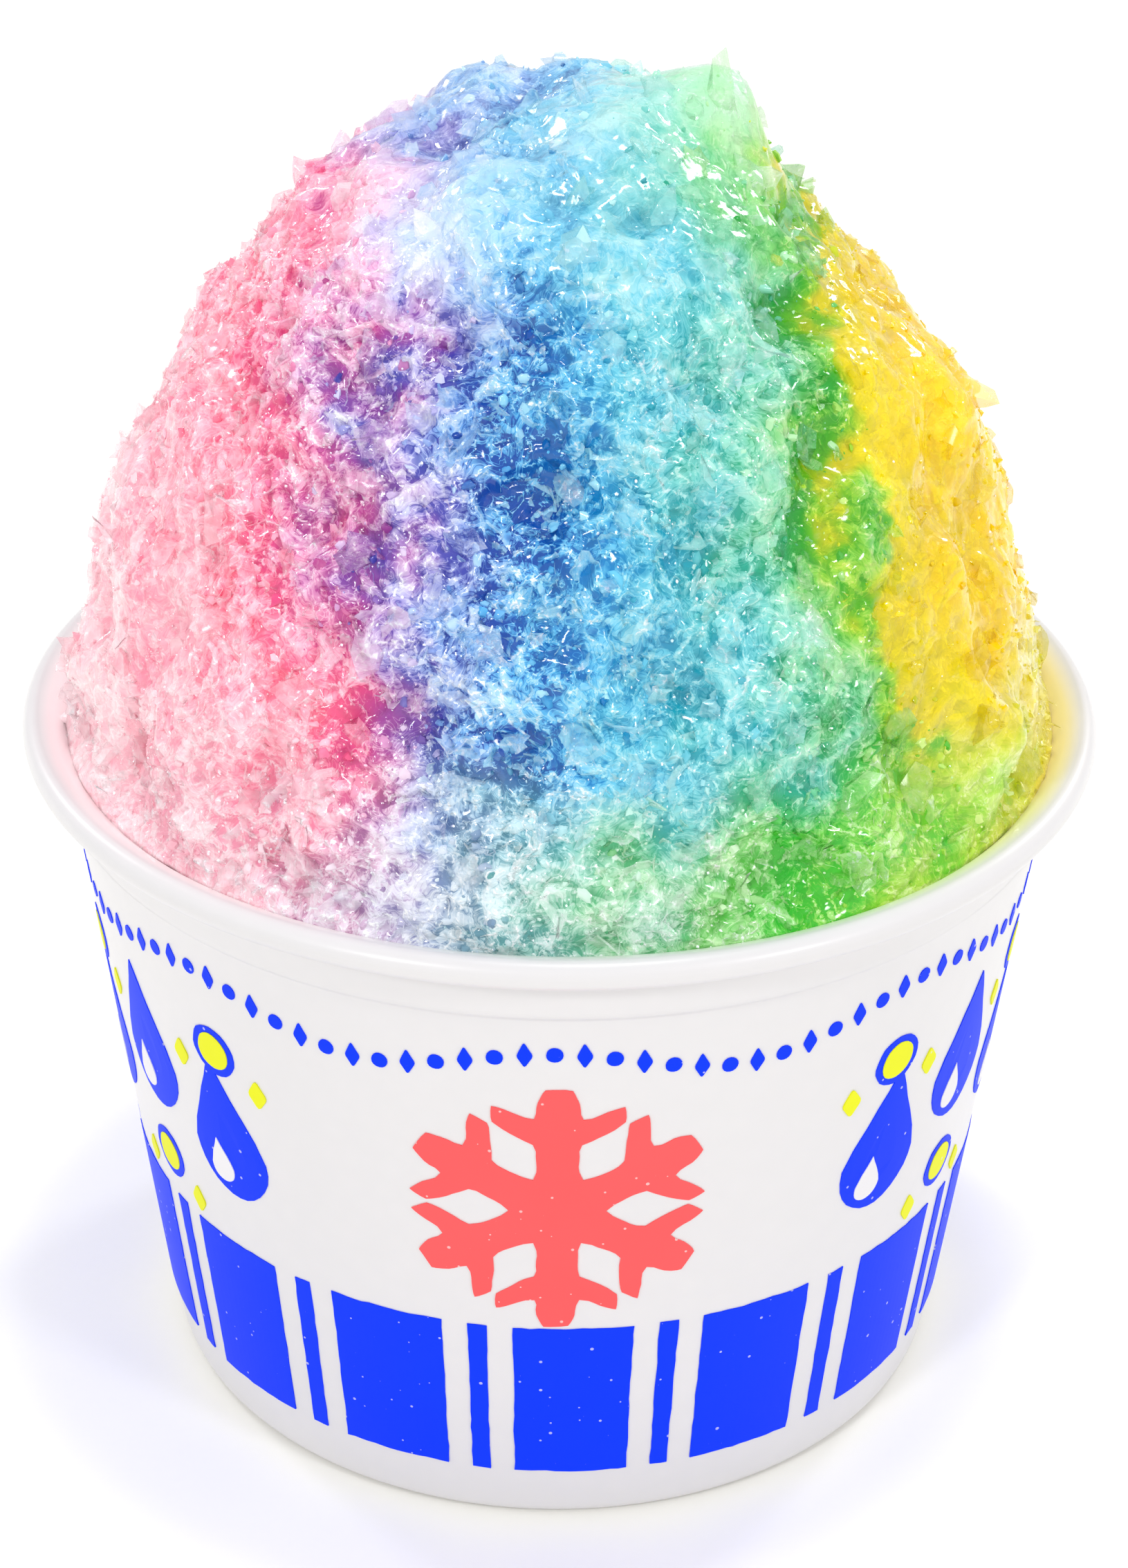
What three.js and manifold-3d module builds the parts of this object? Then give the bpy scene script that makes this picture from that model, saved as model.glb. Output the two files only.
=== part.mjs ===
// Kakigori: a tall mound of shaved ice in a round foam cup with a rolled lip.
// Millimetres, +Z up. The origin is the middle of the underside that the cup stands on.
// The front faces -Y. Azimuths run from the front towards +X.

import * as THREE from 'three';
import { mergeVertices } from 'three/addons/utils/BufferGeometryUtils.js';
import Module from 'manifold-3d';

const wasm = await Module();
wasm.setup();

// ---- driving dimensions -------------------------------------------------------------------

const lipRadius = 55;             // outermost edge of the rolled lip
const lipZ = 73.2;                // height of that edge
const lipBeadRadius = 1.5;        // half the thickness of the roll
const baseRadius = 42.4;          // outside of the wall, carried down to the table
const wallRadiusUnderLip = 51.2;  // outside of the wall, carried up to the height of the lip
const wallThickness = 1.9;
const footHeight = 1.2;           // the underside stands on a ring this high
const footInnerRadius = 37;
const footOuterRadius = 40.4;
const floorTopZ = 3.0;
const shoulderZ = 66.8;           // the stacking shoulder under the lip starts here
const shoulderStep = 0.8;         // and stands this far out of the wall
const cupSegments = 64;

const fitGap = 0.3;               // clearance between the ice and the cup

const moundBaseRadius = 51.2;     // radius of the mound where it leaves the cup
const moundBaseZ = 70;
const moundHeight = 68.7;         // from moundBaseZ to the smooth top
const sidePower = 1.044;          // shapes of the mound's side, as powers of a cosine and a sine
const risePower = 1.276;
const moundDetail = 16;           // subdivision of the geodesic ball that the mound is drawn from
const moundShare = 118;           // polar angle of that ball, in degrees, where the mound's rim lies

// Swellings where flakes have packed together, the hollows between them, and the loose angular
// bits that stand out of the surface. Each pair is a smallest and a largest size.
const clods = { count: 190, width: [2.3, 4.4], height: [0.4, 1.9] };
const hollows = { count: 110, width: [1.7, 3.2], height: [-0.9, -2.9] };
const bits = { count: 92, length: [4.2, 7.6], slimness: [0.5, 0.8], thickness: [1.6, 3.2] };
const bitSunk = 0.8;              // how far the middle of such a bit lies under the clods' tops
const settling = 0.9;             // the smooth mound starts this much smaller, as the clods swell it
const grainRelief = 0.45;         // height of the grain on the whole surface

const frontMiddle = -Math.PI / 2;

// Broad swells and slumps of the whole mound: azimuth in degrees, height, width, and how far out.
const swells = [
  { azimuth: -90, z: 125, width: 8, out: 1.5 },
  { azimuth: -88, z: 98, width: 8, out: 0.9 },
  { azimuth: 92, z: 126, width: 7.5, out: -3.8 },
  { azimuth: 95, z: 135.4, width: 3.8, out: 3.6 },
  { azimuth: -90, z: 137, width: 5, out: -1.8 },
  { azimuth: 176, z: 118, width: 9, out: -1.2 },
  { azimuth: -150, z: 100, width: 10, out: 1.0 },
];

// Deep crevices that syrup has run into, each with its depth.
const crevices = [
  { azimuth: -6, z: 113, width: 4.6, depth: 4.2 },
  { azimuth: -4, z: 124, width: 4.2, depth: 3.0 },
  { azimuth: -32, z: 109, width: 3.4, depth: 3.2 },
  { azimuth: -23, z: 124, width: 2.8, depth: 2.6 },
  { azimuth: -7, z: 89, width: 4.2, depth: 3.2 },
  { azimuth: -17, z: 94, width: 3.6, depth: 3.4 },
  { azimuth: 50, z: 123, width: 3.2, depth: 2.4 },
  { azimuth: 43, z: 113, width: 3.4, depth: 3.0 },
  { azimuth: 36, z: 107, width: 3.0, depth: 2.6 },
  { azimuth: 26, z: 79, width: 5.0, depth: 2.6 },
  { azimuth: 10, z: 98, width: 3.0, depth: 2.2 },
  { azimuth: -58, z: 76, width: 6.5, depth: 2.2 },
  { azimuth: 118, z: 104, width: 4.2, depth: 3.4 },
  { azimuth: 151, z: 120, width: 3.6, depth: 3.0 },
  { azimuth: 176, z: 92, width: 4.6, depth: 3.6 },
  { azimuth: -142, z: 112, width: 4.0, depth: 3.2 },
  { azimuth: -108, z: 90, width: 4.4, depth: 3.2 },
];

// ---- small tools ----------------------------------------------------------------------------

// A repeatable stream of numbers from 0 to 1.
function seededRandom(seed) {
  let state = seed | 0;
  return () => {
    state = (state + 0x6d2b79f5) | 0;
    let mixed = Math.imul(state ^ (state >>> 15), 1 | state);
    mixed = (mixed + Math.imul(mixed ^ (mixed >>> 7), 61 | mixed)) ^ mixed;
    return ((mixed ^ (mixed >>> 14)) >>> 0) / 4294967296;
  };
}

// A random size from a pair of smallest and largest.
const between = (random, [least, most]) => least + (most - least) * random();

// A closed three.js geometry as a solid that can be joined and cut.
function solidFrom(geometry) {
  const bare = geometry.clone();
  bare.deleteAttribute('normal');
  bare.deleteAttribute('uv');
  const merged = mergeVertices(bare, 1e-4);
  const corners = merged.index.array;
  const faces = [];
  for (let i = 0; i < corners.length; i += 3) {
    const [a, b, c] = [corners[i], corners[i + 1], corners[i + 2]];
    if (a !== b && b !== c && c !== a) faces.push(a, b, c);
  }
  return new wasm.Manifold(new wasm.Mesh({
    numProp: 3,
    vertProperties: new Float32Array(merged.attributes.position.array),
    triVerts: new Uint32Array(faces),
  }));
}

function geometryFrom(solid) {
  const mesh = solid.getMesh();
  const geometry = new THREE.BufferGeometry();
  geometry.setAttribute('position', new THREE.BufferAttribute(mesh.vertProperties, 3));
  geometry.setIndex(new THREE.BufferAttribute(mesh.triVerts, 1));
  geometry.computeVertexNormals();
  return geometry;
}

// Turns a list of [radius, z] about the Z axis.
function turned(profile, segments) {
  const points = profile.map(([radius, z]) => new THREE.Vector2(radius, z));
  return new THREE.LatheGeometry(points, segments).rotateX(Math.PI / 2);
}

// Points on an arc of a profile, from one angle to another in degrees.
function arc(radius, z, size, from, to, steps) {
  return Array.from({ length: steps + 1 }, (_, i) => {
    const angle = THREE.MathUtils.degToRad(from + ((to - from) * i) / steps);
    return [radius + size * Math.cos(angle), z + size * Math.sin(angle)];
  });
}

// ---- the cup --------------------------------------------------------------------------------

const wallRadius = (z) => baseRadius + ((wallRadiusUnderLip - baseRadius) * z) / lipZ;
const innerRadius = (z) => wallRadius(z) - wallThickness;

// The inside of the cup from the middle of its floor to the crest of its lip. A positive gap
// moves it into the hollow.
function innerProfile(gap) {
  const beadR = lipRadius - lipBeadRadius;
  const floorCorner = 3;
  const floorZ = floorTopZ + gap;
  const cornerR = innerRadius(floorZ) - gap;
  return [
    [0, floorZ],
    ...arc(cornerR - floorCorner, floorZ + floorCorner, floorCorner, -90, -4, 3),
    [innerRadius(68.4) - gap, 68.4],
    [innerRadius(71.0) - gap + 0.35, 71.0],
    [innerRadius(72.6) - gap + 1.2, 72.6 + gap * 0.3],
    [beadR - 1.6, 74.0 + gap * 0.8],
    [beadR, lipZ + lipBeadRadius + gap],
  ];
}

function makeCup() {
  const beadR = lipRadius - lipBeadRadius;
  const footCorner = 1.9;
  const outside = [
    [0, footHeight],
    [footInnerRadius, footHeight],
    [footInnerRadius + 0.9, 0],
    [footOuterRadius, 0],
    ...arc(footOuterRadius, footCorner, footCorner, -60, -8, 2),
    [wallRadius(shoulderZ - 0.5), shoulderZ - 0.5],
    [wallRadius(shoulderZ) + shoulderStep, shoulderZ + 0.5],
    [wallRadius(71.2) + shoulderStep, 71.2],
    ...arc(beadR, lipZ, lipBeadRadius, -90, 90, 6),
  ];
  const profile = [...outside, ...innerProfile(0).reverse().slice(1)];
  return solidFrom(turned(profile, cupSegments));
}

// Everything that the ice may not enter: the cup, grown by the gap, and the space round it.
function makeKeepOut() {
  const outerRim = 80;
  const below = -5;
  const inside = innerProfile(fitGap);
  const crest = inside[inside.length - 1][1];
  const profile = [[0, below], [outerRim, below], [outerRim, crest], ...inside.reverse()];
  return solidFrom(turned(profile, cupSegments));
}

// ---- the ice --------------------------------------------------------------------------------

// A point of the smooth mound and the direction out of it. climb is 0 at its rim and a quarter
// turn at its top.
function smoothMound(climb, azimuth) {
  const around = frontMiddle + azimuth;
  const flat = Math.max(Math.cos(climb), 0);
  const steep = Math.max(Math.sin(climb), 0);
  const radius = moundBaseRadius * flat ** sidePower;
  const z = moundBaseZ + moundHeight * steep ** risePower;
  const inward = moundBaseRadius * sidePower * flat ** (sidePower - 1) * steep;
  const upward = moundHeight * risePower * steep ** (risePower - 1) * flat;
  const point = new THREE.Vector3(radius * Math.cos(around), radius * Math.sin(around), z);
  const outward = new THREE.Vector3(
    upward * Math.cos(around), upward * Math.sin(around), inward).normalize();
  return { point, outward };
}

const climbAt = (z) => Math.asin(Math.min(((z - moundBaseZ) / moundHeight) ** (1 / risePower), 1));

// Places spread evenly over the mound by the golden angle, each moved a little.
function scattered(count, random, visit) {
  const goldenAngle = Math.PI * (3 - Math.sqrt(5));
  const lowest = moundBaseZ + 3;
  const highest = moundBaseZ + moundHeight - 0.4;
  for (let i = 0; i < count; i++) {
    const share = Math.min((i + 0.2 + 0.6 * random()) / count, 1);
    const z = lowest + (highest - lowest) * share ** 0.92;
    const azimuth = i * goldenAngle + 0.5 * random();
    visit(smoothMound(climbAt(z), azimuth));
  }
}

// Swellings and crevices, as round bells of a width and a height.
function makeLumps() {
  const random = seededRandom(2024);
  const lumps = [];
  for (const kind of [clods, hollows]) {
    scattered(kind.count, random, ({ point }) => {
      lumps.push({ point, width: between(random, kind.width), height: between(random, kind.height) });
    });
  }
  const named = [...swells, ...crevices.map((crevice) => ({ ...crevice, out: -crevice.depth }))];
  for (const { azimuth, z, width, out } of named) {
    const { point } = smoothMound(climbAt(z), THREE.MathUtils.degToRad(azimuth));
    lumps.push({ point, width, height: out });
  }
  return lumps;
}

const lumps = makeLumps();

function relief(point) {
  let height = -settling;
  for (const lump of lumps) {
    const spread = point.distanceToSquared(lump.point) / (2 * lump.width ** 2);
    if (spread < 8) height += lump.height * Math.exp(-spread);
  }
  return height;
}

// The mound as a closed body. Its underside is a shallow bowl that ends up inside the filling.
function makeMound() {
  const random = seededRandom(7);
  const rim = THREE.MathUtils.degToRad(moundShare);
  const bowlZ = 58;
  const ball = mergeVertices(
    new THREE.IcosahedronGeometry(1, moundDetail).deleteAttribute('normal').deleteAttribute('uv'), 1e-5);
  const place = ball.attributes.position;
  const at = new THREE.Vector3();
  for (let i = 0; i < place.count; i++) {
    at.fromBufferAttribute(place, i).normalize();
    const polar = Math.acos(THREE.MathUtils.clamp(at.z, -1, 1));
    const azimuth = Math.atan2(at.y, at.x) - frontMiddle;
    const grain = grainRelief * (2 * random() - 1);
    if (polar <= rim) {
      const { point, outward } = smoothMound((Math.PI / 2) * (1 - polar / rim), azimuth);
      at.copy(point).addScaledVector(outward, relief(point) + grain);
    } else {
      const share = (Math.PI - polar) / (Math.PI - rim);
      const around = frontMiddle + azimuth;
      const radius = moundBaseRadius * share;
      at.set(radius * Math.cos(around), radius * Math.sin(around),
        bowlZ + (moundBaseZ - bowlZ) * share);
    }
    place.setXYZ(i, at.x, at.y, at.z);
  }
  return solidFrom(ball);
}

// The ice packed inside the cup, up to just under the lip.
function makeFilling() {
  const packGap = 1.5 * fitGap;
  const topZ = 69.5;
  const floorZ = floorTopZ + packGap;
  const corner = 3;
  const profile = [
    [0, floorZ],
    ...arc(innerRadius(floorZ) - packGap - corner, floorZ + corner, corner, -90, -4, 2),
    [innerRadius(68) - packGap, 68],
    [innerRadius(68) - packGap - 2, topZ],
    [0, topZ],
  ];
  return solidFrom(turned(profile, cupSegments / 2));
}

// One angular bit of ice, lying flat: a ball of twenty faces, pulled about and flattened.
function makeBit(random) {
  const bit = mergeVertices(
    new THREE.IcosahedronGeometry(0.5, 0).deleteAttribute('normal').deleteAttribute('uv'), 1e-5);
  const length = between(random, bits.length);
  const width = length * between(random, bits.slimness);
  const thickness = between(random, bits.thickness);
  const place = bit.attributes.position;
  for (let i = 0; i < place.count; i++) {
    const pull = between(random, [0.75, 1.25]);
    place.setXYZ(i, place.getX(i) * pull * length, place.getY(i) * pull * width,
      place.getZ(i) * pull * thickness);
  }
  return bit;
}

// The bits, each leaning a little and half sunk in the mound.
function makeBits() {
  const random = seededRandom(91);
  const flatOut = new THREE.Vector3(0, 0, 1);
  const fullSize = new THREE.Vector3(1, 1, 1);
  const lean = [-0.55, 0.55];
  const made = [];
  scattered(bits.count, random, ({ point, outward }) => {
    const bit = makeBit(random);
    const tipped = new THREE.Quaternion().setFromEuler(new THREE.Euler(
      between(random, lean), between(random, lean), between(random, [0, 2 * Math.PI])));
    const turn = new THREE.Quaternion().setFromUnitVectors(flatOut, outward).multiply(tipped);
    const at = point.clone().addScaledVector(outward, relief(point) + settling - bitSunk);
    made.push(solidFrom(bit.applyMatrix4(new THREE.Matrix4().compose(at, turn, fullSize))));
  });
  return made;
}

function makeIce() {
  const heap = wasm.Manifold.union([makeMound(), ...makeBits()]).subtract(makeKeepOut());
  const whole = heap.add(makeFilling());
  const bodies = whole.decompose();
  return bodies.reduce((most, body) => (body.volume() > most.volume() ? body : most));
}

// ---- the model ------------------------------------------------------------------------------

const foam = new THREE.MeshStandardMaterial({ color: 0xf6f5f6, roughness: 0.4, metalness: 0 });
const syrupIce = new THREE.MeshStandardMaterial({ color: 0x9fd4ec, roughness: 0.15, metalness: 0 });

function named(name, solid, material) {
  const mesh = new THREE.Mesh(geometryFrom(solid), material);
  mesh.name = name;
  return mesh;
}

const kakigori = new THREE.Group();
kakigori.name = 'kakigori';
kakigori.add(named('cup', makeCup(), foam));
kakigori.add(named('shaved_ice', makeIce(), syrupIce));

export default kakigori;
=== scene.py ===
"""Shaved ice under stripes of syrup, heaped in its printed foam cup."""
import math

import bpy
import numpy as np
from mathutils import Matrix, Vector, noise
from mathutils.bvhtree import BVHTree


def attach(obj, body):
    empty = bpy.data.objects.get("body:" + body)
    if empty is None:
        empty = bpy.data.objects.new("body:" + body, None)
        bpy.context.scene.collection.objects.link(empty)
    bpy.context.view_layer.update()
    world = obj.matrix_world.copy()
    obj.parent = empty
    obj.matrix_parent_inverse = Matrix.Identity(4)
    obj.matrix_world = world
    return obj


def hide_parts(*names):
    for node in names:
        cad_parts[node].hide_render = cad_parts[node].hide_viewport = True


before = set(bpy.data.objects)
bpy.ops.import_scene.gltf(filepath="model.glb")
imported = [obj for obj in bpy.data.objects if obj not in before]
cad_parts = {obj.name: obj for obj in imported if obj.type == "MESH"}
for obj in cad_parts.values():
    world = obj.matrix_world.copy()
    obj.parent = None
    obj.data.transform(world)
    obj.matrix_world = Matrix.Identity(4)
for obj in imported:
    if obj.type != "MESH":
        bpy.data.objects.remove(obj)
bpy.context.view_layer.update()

# the swirls of the noise come out the same in every run
noise.seed_set(1)

# Lengths are in millimetres, and MM turns them to metres where a mesh is made.
MM = 0.001
FRONT = -math.pi / 2
GOLDEN_ANGLE = math.pi * (3 - math.sqrt(5))

# the cup
LIP_RADIUS, LIP_Z, BEAD_RADIUS = 55.0, 73.2, 1.5
BASE_RADIUS, WALL_RADIUS_UNDER_LIP = 42.4, 51.2
WALL = 1.9
FOOT_HEIGHT, FOOT_INNER, FOOT_OUTER = 1.2, 37.0, 40.4
FLOOR_TOP = 3.0
SHOULDER_Z, SHOULDER_STEP = 66.8, 0.8
CUP_STEPS = 144
INK = 0.1

# the heap of ice
HEAP_RADIUS, HEAP_Z, HEAP_HEIGHT = 51.2, 70.0, 68.7
SIDE_POWER, RISE_POWER = 1.044, 1.276
SETTLING = 0.9
# the ice that is hidden in the cup: its radius, and the heights of its underside and of its rim
PLUG_RADIUS, PLUG_Z, PLUG_TOP = 47.5, 5, 65
CLODS = dict(count=190, width=(2.3, 4.4), height=(0.4, 1.9))
HOLLOWS = dict(count=110, width=(1.7, 3.2), height=(-0.9, -2.9))
# azimuth from the front in degrees, height, width, and how far it stands out
SWELLS = [
    (-90, 125, 8, 1.5), (-88, 98, 8, 0.9), (92, 126, 7.5, -3.8), (95, 135.4, 3.8, 3.6),
    (-90, 137, 5, -1.8), (176, 118, 9, -1.2), (-150, 100, 10, 1.0),
    (78, 136, 5, 1.8), (-70, 136, 5, -1.4), (-90, 117, 7, -1.3), (-90, 88, 6, -1.0), (90, 84, 6, -1.0),
    (0, 138.6, 6, -0.9),
]
CREVICES = [
    (-6, 113, 4.6, 4.2), (-4, 124, 4.2, 3.0), (-32, 109, 3.4, 3.2), (-23, 124, 2.8, 2.6),
    (-7, 89, 4.2, 3.2), (-17, 94, 3.6, 3.4), (50, 123, 3.2, 2.4), (43, 113, 3.4, 3.0),
    (36, 107, 3.0, 2.6), (26, 79, 5.0, 2.6), (10, 98, 3.0, 2.2), (-58, 76, 6.5, 2.2),
    (118, 104, 4.2, 3.4), (151, 120, 3.6, 3.0), (176, 92, 4.6, 3.6), (-142, 112, 4.0, 3.2),
    (-108, 90, 4.4, 3.2),
]
# the room inside the flared lip: height and the radius that the ice keeps to
LIP_ROOM_Z = (0, 68, 71, 72.6, 74.2, 75.2)
LIP_ROOM_R = (40, 48.2, 49.4, 50.6, 51.6, 60)


# ---------------------------------------------------------------- camera

def make_camera():
    """A long lens a third of a metre off, looking down at the cup's lip."""
    image_height, focal_pixels, sensor = 2268, 4825.78, 36
    distance, aim = 350.25, Vector((0.53, 0, 62.93))
    pitch, roll = 0.5076, 0.0125
    forward = Vector((0, math.cos(pitch), -math.sin(pitch)))
    right = Vector((1, 0, 0))
    up = right.cross(forward)
    right, up = right * math.cos(roll) + up * math.sin(roll), up * math.cos(roll) - right * math.sin(roll)
    data = bpy.data.cameras.new("camera")
    data.sensor_width = sensor
    data.lens = focal_pixels * sensor / image_height
    camera = bpy.data.objects.new("camera", data)
    bpy.context.scene.collection.objects.link(camera)
    place = Matrix((right, up, -forward)).transposed().to_4x4()
    place.translation = (aim - forward * distance) * MM
    camera.matrix_world = place
    bpy.context.scene.camera = camera


# ---------------------------------------------------------------- small tools

def linear(hex_colour):
    """An sRGB hex colour as linear red, green, blue and alpha."""
    parts = [int(hex_colour[i:i + 2], 16) / 255 for i in (1, 3, 5)]
    return [c / 12.92 if c <= 0.04045 else ((c + 0.055) / 1.055) ** 2.4 for c in parts] + [1]


def add(tree, kind, inputs, out=0, **settings):
    """Adds a shader node, sets it up, fills its inputs, and gives the output asked for.

    A Mix node takes colours at 6 and 7 and gives them at 2, and takes vectors at 4 and 5 and gives them at 1.
    """
    node = tree.nodes.new("ShaderNode" + kind)
    for name, value in settings.items():
        setattr(node, name, value)
    fill(node, inputs)
    return node if out is None else node.outputs[out]


def fill(node, inputs):
    """Gives each input its value, or links it where the value is another node's output."""
    for key, value in inputs.items():
        if isinstance(value, bpy.types.NodeSocket):
            node.id_data.links.new(value, node.inputs[key])
        else:
            node.inputs[key].default_value = value


def new_material(name):
    material = bpy.data.materials.new(name)
    material.use_nodes = True
    return material, material.node_tree, material.node_tree.nodes["Principled BSDF"]


def deselect_all():
    bpy.ops.object.select_all(action="DESELECT")


def start_shape(kind, **settings):
    """A new simple mesh of one of Blender's kinds, the only thing selected."""
    deselect_all()
    getattr(bpy.ops.mesh, f"primitive_{kind}_add")(**settings)
    return bpy.context.object


def edit_all():
    """Opens the active mesh for editing, with all of it selected."""
    bpy.ops.object.mode_set(mode="EDIT")
    bpy.ops.mesh.select_all(action="SELECT")


def points_of(piece):
    points = np.empty(len(piece.data.vertices) * 3)
    piece.data.vertices.foreach_get("co", points)
    return points.reshape(-1, 3)


def move_points(piece, points):
    piece.data.vertices.foreach_set("co", np.ascontiguousarray(points).ravel())
    piece.data.update()


def apply_modifier(piece, kind, **settings):
    modifier = piece.modifiers.new(kind.lower(), kind)
    for name, value in settings.items():
        setattr(modifier, name, value)
    bpy.context.view_layer.objects.active = piece
    bpy.ops.object.modifier_apply(modifier=modifier.name)


def place_piece(piece, material, node):
    """A finished piece rides on the one body and stands for its CAD node."""
    piece.data.materials.clear()
    piece.data.materials.append(material)
    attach(piece, "root")
    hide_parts(node)


# ---------------------------------------------------------------- the cup

def wall_radius(z):
    return BASE_RADIUS + (WALL_RADIUS_UNDER_LIP - BASE_RADIUS) * z / LIP_Z


def arc(centre, radius, start, end, steps):
    """Points of an arc in (radius, height), from start to end in degrees."""
    turns = [math.radians(start + (end - start) * i / steps) for i in range(steps + 1)]
    return [(centre[0] + radius * math.cos(t), centre[1] + radius * math.sin(t)) for t in turns]


def cup_profile():
    """Half the cup's section, from under the floor, up the wall, over the lip and down inside."""
    inner = lambda z: wall_radius(z) - WALL
    bead = (LIP_RADIUS - BEAD_RADIUS, LIP_Z)
    corner = 3
    outside = [(0, FOOT_HEIGHT), (FOOT_INNER, FOOT_HEIGHT), (FOOT_INNER + 0.9, 0), (FOOT_OUTER, 0)]
    outside += arc((FOOT_OUTER, 1.9), 1.9, -75, -8, 6)
    outside += [(wall_radius(z), z) for z in (8, 20, 35, 50, 62, 66.0)]
    outside += [(wall_radius(66.3) + 0.1, 66.3), (wall_radius(66.6) + 0.45, 66.6)]
    outside += [(wall_radius(SHOULDER_Z) + 0.75, 66.95), (wall_radius(SHOULDER_Z) + SHOULDER_STEP, 67.5)]
    outside += [(wall_radius(69) + SHOULDER_STEP, 69), (wall_radius(71) + 0.85, 71)]
    outside += [(wall_radius(71.6) + 1.1, 71.55)]
    outside += arc(bead, BEAD_RADIUS, -80, 90, 16)
    inside = [(51.9, 74.05), (51.1, 73.3), (inner(72.4) + 1.1, 72.4), (inner(71) + 0.35, 71)]
    inside += [(inner(z), z) for z in (68.4, 60, 40, 20)]
    inside += arc((inner(FLOOR_TOP) - corner, FLOOR_TOP + corner), corner, -4, -90, 8) + [(0, FLOOR_TOP)]
    return outside + inside


def spin_profile(name, profile, steps):
    """Draws a profile edge by edge from one vertex and spins it round the upright axis."""
    piece = start_shape("plane", size=MM)
    piece.name = name
    edit_all()
    bpy.ops.mesh.merge(type="CENTER")
    bpy.ops.transform.translate(value=(profile[0][0] * MM, 0, profile[0][1] * MM))
    for here, there in zip(profile, profile[1:]):
        step = ((there[0] - here[0]) * MM, 0, (there[1] - here[1]) * MM)
        bpy.ops.mesh.extrude_vertices_move(TRANSFORM_OT_translate={"value": step})
    bpy.ops.mesh.select_all(action="SELECT")
    bpy.ops.mesh.spin(steps=steps, angle=2 * math.pi, center=(0, 0, 0), axis=(0, 0, 1))
    bpy.ops.mesh.select_all(action="SELECT")
    bpy.ops.mesh.remove_doubles(threshold=0.01 * MM)
    bpy.ops.mesh.normals_make_consistent(inside=False)
    bpy.ops.object.mode_set(mode="OBJECT")
    return piece


def make_cup():
    cup = spin_profile("foam_cup", cup_profile(), CUP_STEPS)
    cup.data.shade_smooth()
    cup.data.set_sharp_from_angle(angle=math.radians(50))
    place_piece(cup, foam_material(), "cup")


def inside_the_lip(tree, place):
    """1 on the wall inside the flared lip, 0 past the roll of the lip and on the rest of the cup.

    The border is a cone: a radius that grows by the slant with the height, from its start at the table.
    """
    slant, start, fade_from, fade_to = 0.55, 10.7, 0.4, 1.6
    flat = add(tree, "VectorMath", {0: place, 1: (1, 1, 0)}, operation="MULTIPLY")
    radius = add(tree, "VectorMath", {0: flat}, "Value", operation="LENGTH")
    height = add(tree, "SeparateXYZ", {"Vector": place}, "Z")
    flare = add(tree, "Math", {0: height, 1: -slant, 2: -start * MM}, operation="MULTIPLY_ADD")
    beyond = add(tree, "Math", {0: radius, 1: flare}, operation="ADD")
    return add(tree, "MapRange", {"Value": beyond, "From Min": fade_from * MM, "From Max": fade_to * MM,
                                  "To Min": 1.0, "To Max": 0.0})


def painted_ice_glow(tree, place):
    """Painted light: the glow that the syrupy ice throws on the foam beside it, pink on the left, yellow on
    the right.
    """
    across = add(tree, "SeparateXYZ", {"Vector": place}, "X")
    across = add(tree, "MapRange", {"Value": across, "From Min": -LIP_RADIUS * MM,
                                    "From Max": LIP_RADIUS * MM})
    node = add(tree, "ValToRGB", {"Fac": across}, None)
    elements = node.color_ramp.elements
    elements[0].color = linear("#FFF2F4")
    elements[1].color = linear("#FFF0C0")
    elements.new(0.6).color = linear("#EEF4EC")
    elements.new(0.75).color = linear("#EEF6DC")
    return node.outputs["Color"]


def foam_material():
    """Foamed polystyrene, moulded from beads: white, satin, with bead borders only just showing, and painted
    light from the ice inside the lip.
    """
    material, tree, shader = new_material("foamed_polystyrene")
    bead_size, cloud_size = 2.6, 28.57
    place = add(tree, "TexCoord", {}, "Object")
    beads = add(tree, "TexVoronoi", {"Vector": place, "Scale": 1000 / bead_size}, "Distance")
    cloud = add(tree, "TexNoise", {"Vector": place, "Scale": 1000 / cloud_size, "Detail": 3.0})
    tone = add(tree, "MapRange", {"Value": beads, "From Max": 0.7, "To Min": 0.0, "To Max": 0.35})
    tone = add(tree, "Math", {0: tone, 1: cloud}, operation="MULTIPLY")
    foam = add(tree, "Mix", {"Factor": tone, 6: linear("#D9D7D9"), 7: linear("#D1D0D2")}, 2, data_type="RGBA")
    # painted light: inside the flared lip the foam takes the glow of the syrupy ice
    colour = add(tree, "Mix", {"Factor": inside_the_lip(tree, place), 6: foam, 7: painted_ice_glow(tree, place)},
                 2, data_type="RGBA")
    bump = add(tree, "Bump", {"Strength": 0.25, "Distance": 0.08 * MM, "Height": beads})
    fill(shader, {"Base Color": colour, "Normal": bump, "Roughness": 0.36, "IOR": 1.49, "Coat Weight": 0.25,
                  "Coat Roughness": 0.18})
    return material


# ---------------------------------------------------------------- the print

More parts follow.
